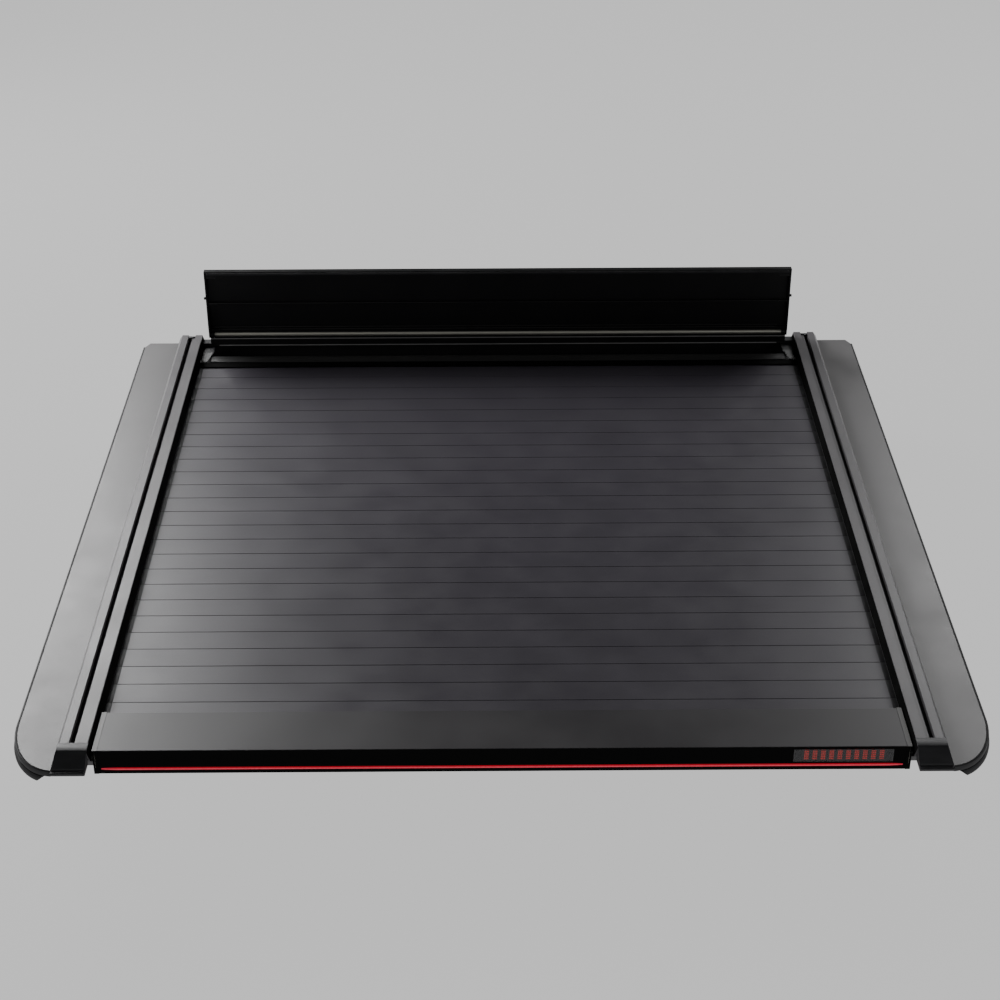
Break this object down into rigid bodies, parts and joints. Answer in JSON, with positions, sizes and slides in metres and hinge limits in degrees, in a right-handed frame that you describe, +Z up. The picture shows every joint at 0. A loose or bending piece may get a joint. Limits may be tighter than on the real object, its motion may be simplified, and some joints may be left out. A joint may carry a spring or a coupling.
{
  "type": "tonneau cover",
  "caption": "Retractable aluminium roller-shutter cover for a pickup bed, with slotted side rails, a lit leading bar and a canister with a hinged lid.",
  "frame": {"origin": "middle of the plane in which the two side covers rest on the truck's bed rails", "axes": "+X to the right seen from the tailgate, +Y towards the cab, +Z up"},
  "size_m": [1.612, 1.549, 0.3735],
  "materials": {
    "slat_powder_coat": "charcoal powder coat with a fine grain",
    "rail_powder_coat": "satin charcoal powder coat",
    "cover_powder_coat": "satin charcoal powder coat",
    "cap_plastic": "moulded black nylon, fine texture",
    "black_rubber": "extruded black rubber",
    "runner_nylon": "low-friction black nylon",
    "bar_powder_coat": "charcoal powder coat, semi-gloss front",
    "end_plate_coat": "satin black paint with worn bright edges",
    "red_light_lens": "red light diffuser",
    "smoked_lens": "smoked clear lens",
    "red_light_segments": "unlit red light segments",
    "screw_steel": "blackened steel",
    "canister_coat": "black powder coat",
    "lid_coat": "black powder coat, satin",
    "hinge_coat": "black satin coat",
    "rod_steel": "satin steel",
    "tube_aluminium": "mill-finish aluminium",
    "motor_paint": "grey painted steel"
  },
  "bodies": {
    "frame": {"canister_end_left": "canister_coat", "canister_end_right": "canister_coat", "canister_screws": "screw_steel", "canister_shell": "canister_coat", "channel_liners": "runner_nylon", "drain_spigots": "cap_plastic", "drive_bearing": "rod_steel", "drive_motor": "motor_paint", "edge_seal_left": "black_rubber", "edge_seal_right": "black_rubber", "hinge_end_blocks": "cap_plastic", "hinge_rail": "hinge_coat", "hinge_rod": "rod_steel", "mouth_wiper": "black_rubber", "rail_end_cap_left": "cap_plastic", "rail_end_cap_right": "cap_plastic", "rail_left": "rail_powder_coat", "rail_right": "rail_powder_coat", "side_cover_left": "cover_powder_coat", "side_cover_right": "cover_powder_coat", "winding_track_left": "runner_nylon", "winding_track_right": "runner_nylon"},
    "curtain": {"slat_01": "slat_powder_coat", "slat_02": "slat_powder_coat", "slat_03": "slat_powder_coat", "slat_04": "slat_powder_coat", "slat_05": "slat_powder_coat", "slat_06": "slat_powder_coat", "slat_07": "slat_powder_coat", "slat_08": "slat_powder_coat", "slat_09": "slat_powder_coat", "slat_10": "slat_powder_coat", "slat_11": "slat_powder_coat", "slat_12": "slat_powder_coat", "slat_13": "slat_powder_coat", "slat_14": "slat_powder_coat", "slat_15": "slat_powder_coat", "slat_16": "slat_powder_coat", "slat_17": "slat_powder_coat", "slat_18": "slat_powder_coat", "slat_19": "slat_powder_coat", "slat_20": "slat_powder_coat", "slat_21": "slat_powder_coat", "slat_22": "slat_powder_coat", "slat_23": "slat_powder_coat", "slat_24": "slat_powder_coat", "slat_25": "slat_powder_coat", "slat_runners": "runner_nylon", "leading_bar": "bar_powder_coat", "bar_end_plates": "end_plate_coat", "bar_runners": "runner_nylon", "light_strip": "red_light_lens", "brake_light_lens": "smoked_lens", "brake_light_segments": "red_light_segments"},
    "coil": {"tail_slats": "slat_powder_coat"},
    "drive": {"drive_tube": "tube_aluminium", "drive_tyres": "black_rubber"},
    "lid": {"lid_panel": "lid_coat", "lid_end_caps": "end_plate_coat", "lid_seal": "black_rubber"}
  },
  "joints": [
    {"name": "curtain_slide", "type": "slide", "parent": "frame", "child": "curtain", "axis": [0, 1, 0], "range_m": [0, 0.1034]},
    {"name": "coil_turn", "type": "hinge", "parent": "frame", "child": "coil", "pos_m": [0, 0.69, -0.082], "axis": [-1, 0, 0], "range_deg": [0, 84]},
    {"name": "drive_turn", "type": "hinge", "parent": "frame", "child": "drive", "pos_m": [0, 0.575, -0.0351], "axis": [-1, 0, 0], "range_deg": [0, 250]},
    {"name": "lid_hinge", "type": "hinge", "parent": "frame", "child": "lid", "pos_m": [0, 0.76, 0.0335], "axis": [1, 0, 0], "range_deg": [0, 90]}
  ],
  "couplings": [
    {"joint": "coil_turn", "follows": "curtain_slide", "rad_per_m": 14.085},
    {"joint": "drive_turn", "follows": "curtain_slide", "rad_per_m": 41.667}
  ]
}
